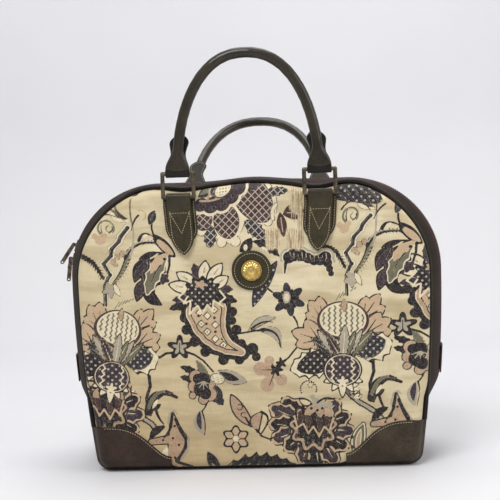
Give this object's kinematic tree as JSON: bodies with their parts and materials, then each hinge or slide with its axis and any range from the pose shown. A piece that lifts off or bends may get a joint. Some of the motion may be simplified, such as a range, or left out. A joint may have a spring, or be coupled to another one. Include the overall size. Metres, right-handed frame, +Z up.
{
  "type": "carpet bag",
  "caption": "Domed tapestry carpet bag with leather trim, rolled handles on metal rings, a zip over the top and a brass button on the front.",
  "frame": {"origin": "middle of the base, on the surface that the bag stands on", "axes": "+Z up, +X to the wearer's right of the front, +Y from the front to the back"},
  "size_m": [0.486, 0.3288, 0.5092],
  "materials": {
    "tapestry": "woven floral tapestry",
    "trim_leather": "worn, stitched",
    "gusset_leather": "satin",
    "handle_leather": "rolled, satin",
    "zip_tape": "woven",
    "zip_metal": "aged",
    "ring_metal": "aged",
    "button_brass": "polished",
    "board": "fibreboard"
  },
  "bodies": {
    "bag": {"front_panel": "tapestry", "back_panel": "tapestry", "zip_tape_front": "zip_tape", "zip_tape_back": "zip_tape", "zip_chain": "zip_metal", "base_board": "board", "medallion_button": "button_brass", "button_washer": "button_brass", "front_piping": "trim_leather", "back_piping": "trim_leather", "zip_end_tab_left": "trim_leather", "zip_end_tab_right": "trim_leather", "corner_patch_front_left": "trim_leather", "corner_patch_front_right": "trim_leather", "corner_patch_back_left": "trim_leather", "corner_patch_back_right": "trim_leather", "tab_backing_front_left": "trim_leather", "tab_backing_front_right": "trim_leather", "tab_backing_back_left": "trim_leather", "tab_backing_back_right": "trim_leather", "tab_strap_front_left": "trim_leather", "tab_strap_front_right": "trim_leather", "tab_strap_back_left": "trim_leather", "tab_strap_back_right": "trim_leather", "base_panel": "trim_leather", "medallion_patch": "trim_leather", "zip_gusset_front": "gusset_leather", "zip_gusset_back": "gusset_leather", "lower_gusset": "gusset_leather"},
    "ring_front_left": {"ring_front_left": "ring_metal"},
    "ring_front_right": {"ring_front_right": "ring_metal"},
    "ring_back_left": {"ring_back_left": "ring_metal"},
    "ring_back_right": {"ring_back_right": "ring_metal"},
    "front_handle": {"front_handle": "handle_leather"},
    "back_handle": {"back_handle": "handle_leather"},
    "slider_upper": {"slider_upper": "zip_metal"},
    "slider_lower": {"slider_lower": "zip_metal"},
    "pull_upper": {"pull_upper": "zip_metal"},
    "pull_lower": {"pull_lower": "zip_metal"}
  },
  "joints": [
    {"name": "front_left_ring_swing", "type": "hinge", "parent": "bag", "child": "ring_front_left", "pos_m": [-0.085, -0.09003, 0.33685], "axis": [1, 0, 0], "range_deg": [0, 105]},
    {"name": "front_right_ring_swing", "type": "hinge", "parent": "bag", "child": "ring_front_right", "pos_m": [0.085, -0.09003, 0.33685], "axis": [1, 0, 0], "range_deg": [0, 105]},
    {"name": "front_handle_swing", "type": "hinge", "parent": "ring_front_left", "child": "front_handle", "pos_m": [0, -0.09003, 0.36485], "axis": [1, 0, 0], "range_deg": [-26, 60]},
    {"name": "back_left_ring_swing", "type": "hinge", "parent": "bag", "child": "ring_back_left", "pos_m": [-0.085, 0.09003, 0.33685], "axis": [-1, 0, 0], "range_deg": [-76, 29]},
    {"name": "back_right_ring_swing", "type": "hinge", "parent": "bag", "child": "ring_back_right", "pos_m": [0.085, 0.09003, 0.33685], "axis": [-1, 0, 0], "range_deg": [-76, 29]},
    {"name": "back_handle_swing", "type": "hinge", "parent": "ring_back_left", "child": "back_handle", "pos_m": [0, 0.1172, 0.34362], "axis": [-1, 0, 0], "range_deg": [0, 86]},
    {"name": "upper_slider_travel", "type": "hinge", "parent": "bag", "child": "slider_upper", "pos_m": [-0.119, 0, 0.237], "axis": [0, 1, 0], "range_deg": [0, 65]},
    {"name": "lower_slider_travel", "type": "hinge", "parent": "bag", "child": "slider_lower", "pos_m": [-0.119, 0, 0.237], "axis": [0, -1, 0], "range_deg": [0, 9]},
    {"name": "upper_pull_swing", "type": "hinge", "parent": "slider_upper", "child": "pull_upper", "pos_m": [-0.23275, 0, 0.2784], "axis": [0, 1, 0], "range_deg": [0, 120]},
    {"name": "lower_pull_swing", "type": "hinge", "parent": "slider_lower", "child": "pull_lower", "pos_m": [-0.23775, 0, 0.26051], "axis": [0, 1, 0], "range_deg": [0, 22]}
  ],
  "couplings": [
    {"joint": "front_right_ring_swing", "follows": "front_left_ring_swing", "ratio": 1},
    {"joint": "back_right_ring_swing", "follows": "back_left_ring_swing", "ratio": 1}
  ]
}
